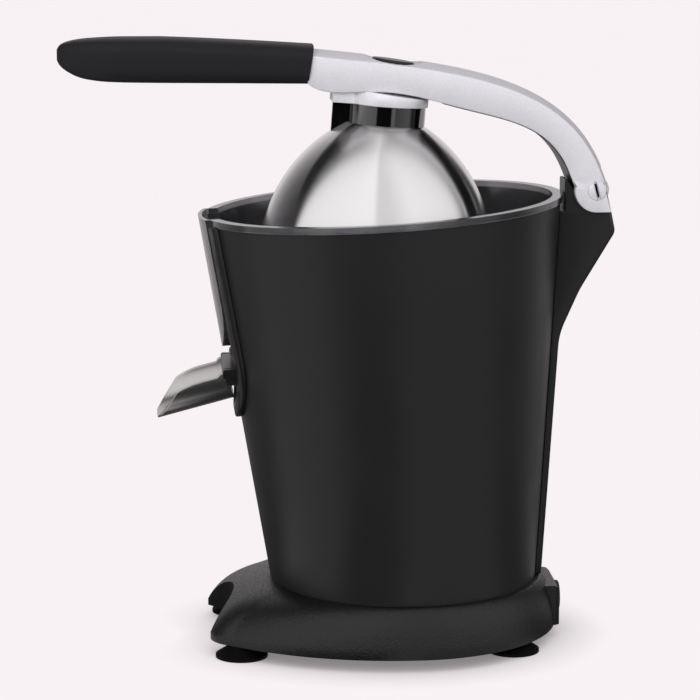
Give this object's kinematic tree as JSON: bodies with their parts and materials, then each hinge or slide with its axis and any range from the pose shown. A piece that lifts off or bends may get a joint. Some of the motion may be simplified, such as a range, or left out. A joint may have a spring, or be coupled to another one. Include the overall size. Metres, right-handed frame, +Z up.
{
  "type": "electric citrus juicer",
  "caption": "Lever-press electric citrus juicer: black tapered drum on a flared base, clear bowl with steel spout, silver bowed arm with a steel press dome and black grip.",
  "frame": {"origin": "on the counter, at the middle of the whole machine seen from above, lever closed", "axes": "+Z up; the spout and grip point to -Y, the hinge is at +Y; +X is to the right seen from the front"},
  "size_m": [0.2052, 0.3156, 0.3466],
  "materials": {
    "body_paint": "black satin paint on drawn steel",
    "base_plastic": "grained black moulding",
    "trim_plastic": "satin black moulding",
    "collar_plastic": "glossy black moulding",
    "grip_rubber": "soft black over-moulding",
    "foot_rubber": "black suction cup",
    "seal_rubber": "black seal",
    "clear_plastic": "clear, slightly smoky moulding",
    "dome_steel": "brushed stainless",
    "spout_steel": "satin stainless",
    "arm_silver": "die casting in silver satin lacquer",
    "bracket_silver": "bright silver casting",
    "reamer_plastic": "black moulding",
    "gear_plastic": "natural acetal",
    "deck_plastic": "dark moulding",
    "steel": "plain steel",
    "iron_stack": "stacked iron sheet",
    "winding": "enamelled copper wire",
    "bronze": "sintered bronze"
  },
  "bodies": {
    "body": {"base_housing": "base_plastic", "base_plate": "base_plastic", "base_screws": "steel", "cord_gland": "trim_plastic", "body_shell": "body_paint", "slot_bezel": "trim_plastic", "rear_spine": "trim_plastic", "spine_screws": "steel", "juice_bowl": "clear_plastic", "outlet_seal": "seal_rubber", "spout_holder": "trim_plastic", "spout_pin": "steel", "strainer": "spout_steel", "idler_pin": "steel", "motor_stator": "iron_stack", "motor_coils": "winding", "motor_posts": "steel", "motor_screws": "steel", "motor_bridge": "steel", "motor_bearings": "bronze", "motor_deck": "deck_plastic", "deck_seal": "seal_rubber", "plate_spacers": "steel", "gear_plate_lower": "steel", "gear_plate_upper": "steel", "shaft_bush_lower": "bronze", "shaft_bush_upper": "bronze", "switch_hanger": "steel", "return_spring": "steel", "micro_switch": "deck_plastic", "hinge_washers": "gear_plastic", "suction_foot_front_left": "foot_rubber", "suction_foot_front_right": "foot_rubber", "suction_foot_rear_left": "foot_rubber", "suction_foot_rear_right": "foot_rubber"},
    "arm": {"lever_arm": "arm_silver", "arm_liner": "trim_plastic", "grip": "grip_rubber", "hinge_pin": "arm_silver", "hinge_cap": "arm_silver", "screw_cap": "trim_plastic", "press_dome": "dome_steel", "dome_collar": "collar_plastic", "dome_bracket": "bracket_silver", "dome_screw": "steel", "dome_nut": "steel"},
    "spout": {"spout": "spout_steel"},
    "output": {"output_gear": "gear_plastic"},
    "reamer": {"drive_shaft": "steel", "reamer": "reamer_plastic"},
    "plunger": {"thrust_plunger": "gear_plastic", "switch_button": "gear_plastic"},
    "idler": {"idler_gear": "gear_plastic"},
    "rotor": {"motor_shaft": "steel", "rotor": "iron_stack", "cooling_fan": "deck_plastic"}
  },
  "joints": [
    {"name": "arm_hinge", "type": "hinge", "parent": "body", "child": "arm", "pos_m": [0, 0.14582, 0.2596], "axis": [-1, 0, 0], "range_deg": [0, 80]},
    {"name": "spout_tilt", "type": "hinge", "parent": "body", "child": "spout", "pos_m": [0, -0.06336, 0.15857], "axis": [-1, 0, 0], "range_deg": [0, 40]},
    {"name": "rotor_spin", "type": "hinge", "parent": "body", "child": "rotor", "pos_m": [0, 0.07819, 0.06711], "axis": [0, -0.0586, 0.9983], "continuous": true},
    {"name": "idler_spin", "type": "hinge", "parent": "body", "child": "idler", "pos_m": [0.0155, 0.06015, 0.0961], "axis": [0, -0.0586, 0.9983], "continuous": true},
    {"name": "output_spin", "type": "hinge", "parent": "body", "child": "output", "pos_m": [0, 0.03392, 0.10458], "axis": [0, -0.0586, 0.9983], "continuous": true},
    {"name": "reamer_press", "type": "slide", "parent": "output", "child": "reamer", "axis": [0, 0.0586, -0.9983], "range_m": [0, 0.0025], "stiffness_N_per_m": 1500, "springref_m": -0.006},
    {"name": "plunger_press", "type": "slide", "parent": "body", "child": "plunger", "axis": [0, 0.0586, -0.9983], "range_m": [0, 0.0025], "deforming": ["return_spring"]}
  ],
  "couplings": [
    {"joint": "idler_spin", "follows": "rotor_spin", "ratio": -0.25},
    {"joint": "output_spin", "follows": "rotor_spin", "ratio": 0.0625},
    {"joint": "plunger_press", "follows": "reamer_press", "ratio": 1}
  ]
}
